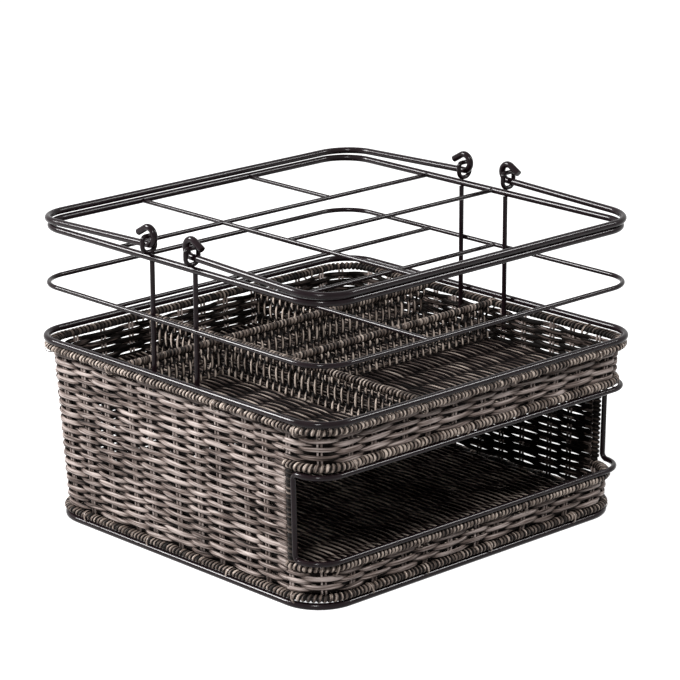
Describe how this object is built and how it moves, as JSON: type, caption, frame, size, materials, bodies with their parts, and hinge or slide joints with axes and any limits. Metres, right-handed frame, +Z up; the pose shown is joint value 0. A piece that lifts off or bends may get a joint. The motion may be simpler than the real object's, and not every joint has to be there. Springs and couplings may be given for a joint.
{
  "type": "serving caddy",
  "caption": "Square woven serving caddy with an open plate shelf, a divided deck above it and a raised wire rack with folding bail handles.",
  "frame": {"origin": "centre of the base, on the surface it stands on", "axes": "+Z up, +X along the front from left to right seen from the front, +Y from the open front towards the back"},
  "size_m": [0.3326, 0.3186, 0.2482],
  "materials": {
    "painted_wire": "satin dark brown powder coat on bent iron wire",
    "woven_strand": "dark brown stained cane strand, plain weave, satin",
    "wrapped_strand": "dark brown stained cane strand wrapped close, satin"
  },
  "bodies": {
    "caddy": {"band_binding": "wrapped_strand", "base_binding": "wrapped_strand", "base_ring": "painted_wire", "deck": "woven_strand", "divider_depth_main": "woven_strand", "divider_depth_short": "woven_strand", "divider_front": "woven_strand", "divider_rear_left": "woven_strand", "divider_rear_right": "woven_strand", "eyelet_left_front": "painted_wire", "eyelet_left_rear": "painted_wire", "eyelet_right_front": "painted_wire", "eyelet_right_rear": "painted_wire", "front_band": "woven_strand", "front_lip": "woven_strand", "left_edge_binding": "wrapped_strand", "left_wall": "woven_strand", "lip_binding": "wrapped_strand", "lower_floor": "woven_strand", "mid_ring": "painted_wire", "mid_wire_depth_main": "painted_wire", "mid_wire_depth_short": "painted_wire", "mid_wire_front": "painted_wire", "mid_wire_rear_left": "painted_wire", "mid_wire_rear_right": "painted_wire", "opening_frame": "painted_wire", "post_left_front": "painted_wire", "post_left_rear": "painted_wire", "post_right_front": "painted_wire", "post_right_rear": "painted_wire", "rail_depth_main": "wrapped_strand", "rail_depth_short": "wrapped_strand", "rail_front": "wrapped_strand", "rail_rear_left": "wrapped_strand", "rail_rear_right": "wrapped_strand", "rear_wall": "woven_strand", "right_edge_binding": "wrapped_strand", "right_wall": "woven_strand", "rim_binding": "wrapped_strand", "rim_ring": "painted_wire", "top_ring": "painted_wire", "top_wire_depth_main": "painted_wire", "top_wire_depth_short": "painted_wire", "top_wire_front": "painted_wire", "top_wire_rear_left": "painted_wire", "top_wire_rear_right": "painted_wire"},
    "front_handle": {"front_handle": "painted_wire"},
    "rear_handle": {"rear_handle": "painted_wire"}
  },
  "joints": [
    {"name": "front_handle_pivot", "type": "hinge", "parent": "caddy", "child": "front_handle", "pos_m": [0, -0.0233, 0.2395], "axis": [-1, 0, 0], "range_deg": [0, 103]},
    {"name": "rear_handle_pivot", "type": "hinge", "parent": "caddy", "child": "rear_handle", "pos_m": [0, 0.0233, 0.2395], "axis": [1, 0, 0], "range_deg": [0, 103]}
  ]
}
